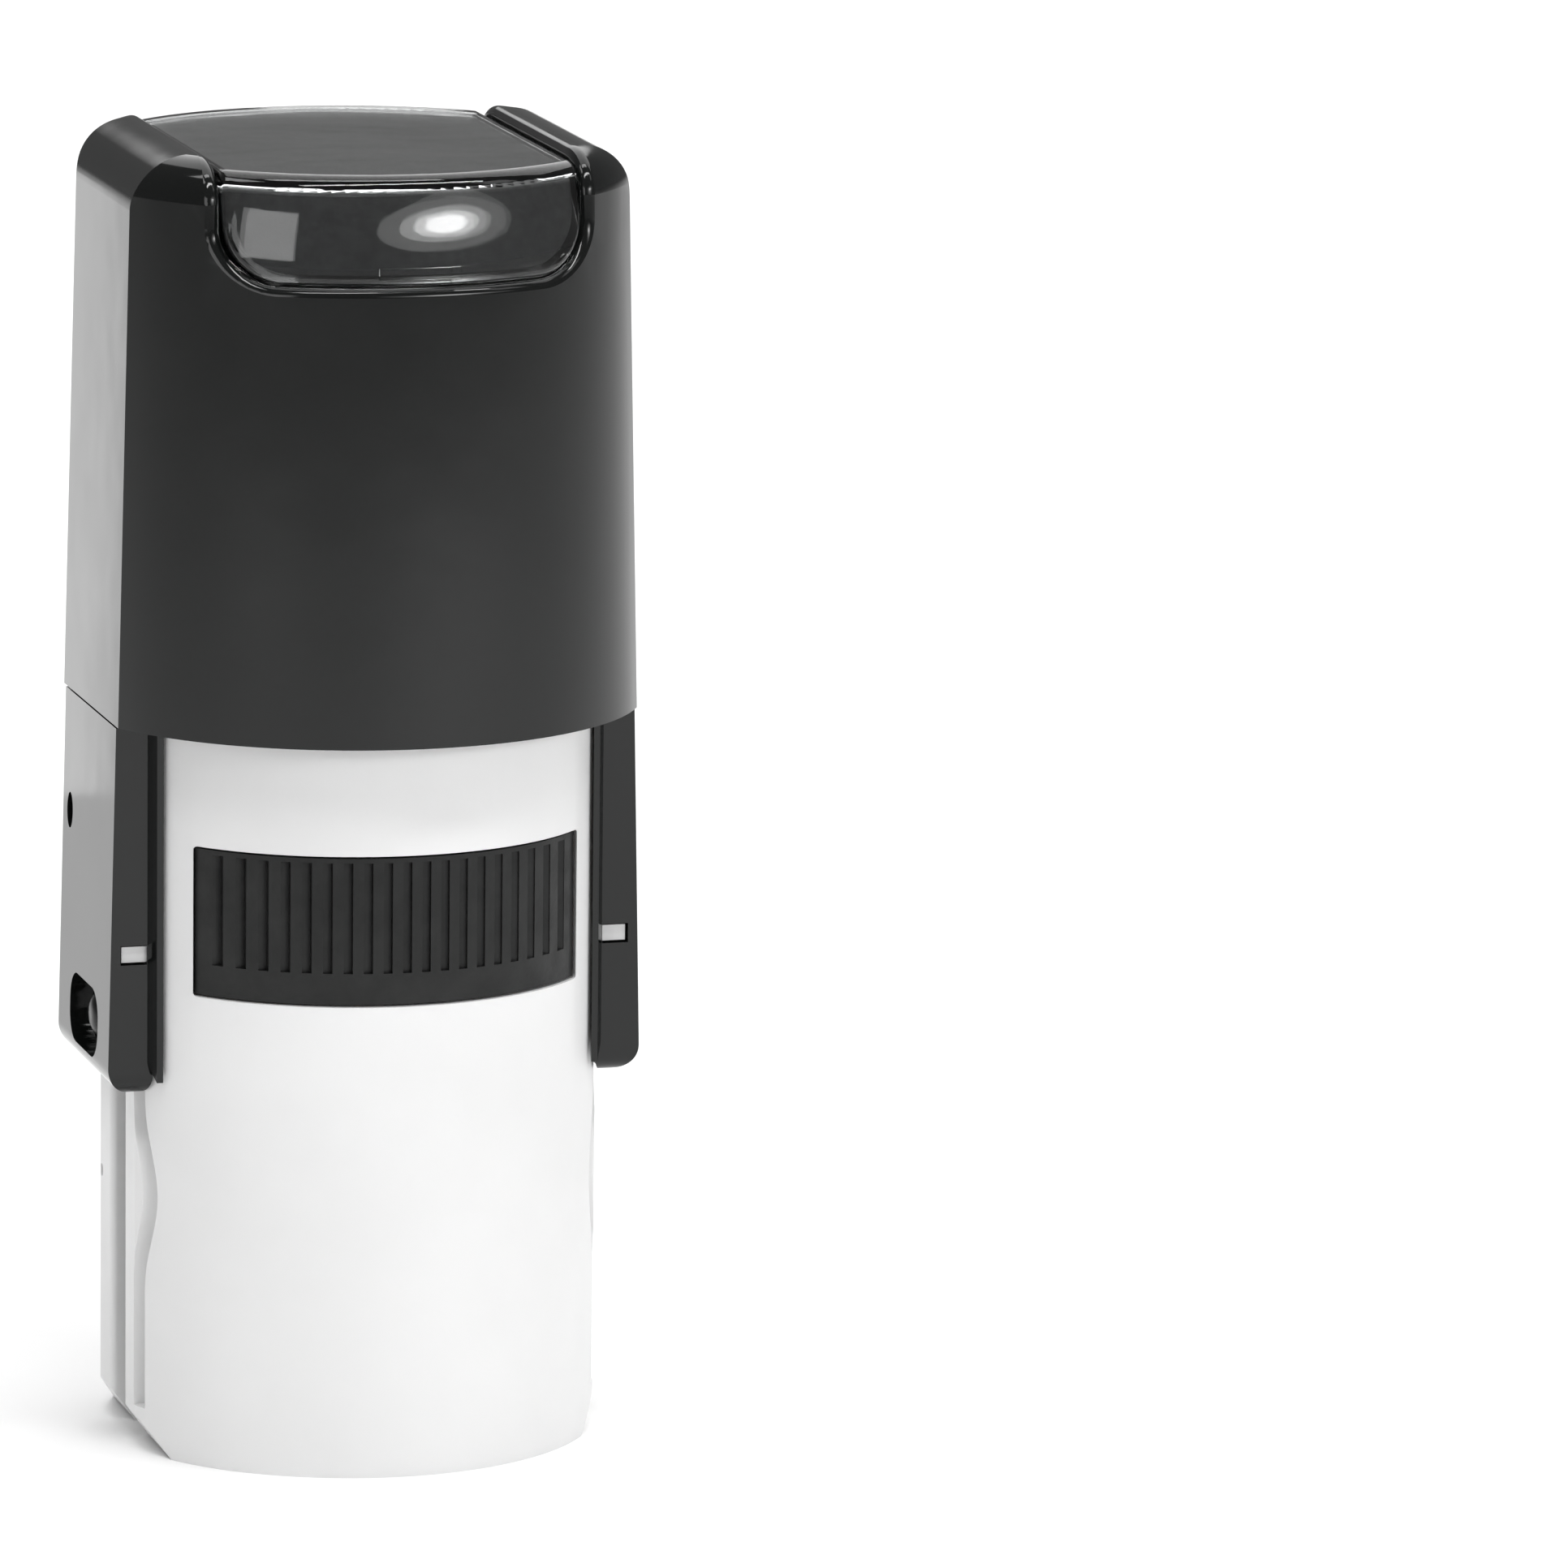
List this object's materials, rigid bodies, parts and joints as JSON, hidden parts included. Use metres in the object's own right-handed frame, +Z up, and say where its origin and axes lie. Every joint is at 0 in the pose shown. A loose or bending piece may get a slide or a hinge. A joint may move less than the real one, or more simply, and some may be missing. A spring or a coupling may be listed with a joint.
{
  "type": "self-inking rubber stamp",
  "caption": "Round self-inking stamp: a handle slides over a white base and turns a round text plate from the ink pad to the paper.",
  "frame": {"origin": "centre of the base's bottom rim, on the plane of the paper", "axes": "+Z up the stamp towards the handle's top, -Y towards the front window, +X to the right seen from the front"},
  "size_m": [0.0294, 0.0316, 0.071],
  "materials": {
    "white_plastic": "smooth, half gloss",
    "black_gloss": "gloss",
    "black_satin": "fine satin",
    "black_cartridge": "satin, ribbed",
    "ink_felt": "felt soaked with black ink",
    "spring_steel": "drawn wire",
    "clear_cover": "clear gloss plastic",
    "card": "plain dark card",
    "white_lock": "satin",
    "grey_plastic": "satin",
    "tape": "plain adhesive film",
    "die_rubber": "laser-cut rubber"
  },
  "bodies": {
    "base": {"base_housing": "white_plastic", "ink_cartridge": "black_cartridge", "ink_pad": "ink_felt", "return_spring": "spring_steel"},
    "handle": {"handle_cap": "black_gloss", "drive_yoke": "black_gloss", "index_card": "card"},
    "cover": {"index_cover": "clear_cover"},
    "platen": {"platen": "grey_plastic", "platen_axle": "black_satin", "die_tape": "tape", "text_plate": "die_rubber"},
    "left_lock": {"lock_bar_left": "white_lock"},
    "right_lock": {"lock_bar_right": "white_lock"}
  },
  "joints": [
    {"name": "handle_press", "type": "slide", "parent": "base", "child": "handle", "axis": [0, 0, -1], "range_m": [0, 0.0195], "stiffness_N_per_m": 400, "springref_m": -0.01, "deforming": ["return_spring"]},
    {"name": "platen_flip", "type": "hinge", "parent": "handle", "child": "platen", "pos_m": [0, 0, 0.0232], "axis": [1, 0, 0], "range_deg": [0, 180]},
    {"name": "cover_lift", "type": "slide", "parent": "handle", "child": "cover", "axis": [0, 0, 1], "range_m": [0, 0.009]},
    {"name": "left_lock_slide", "type": "slide", "parent": "handle", "child": "left_lock", "axis": [0, 1, 0], "range_m": [0, 0.0006]},
    {"name": "right_lock_slide", "type": "slide", "parent": "handle", "child": "right_lock", "axis": [0, 1, 0], "range_m": [0, 0.0006]}
  ],
  "couplings": [
    {"joint": "platen_flip", "follows": "handle_press", "rad_per_m": 161.1}
  ]
}
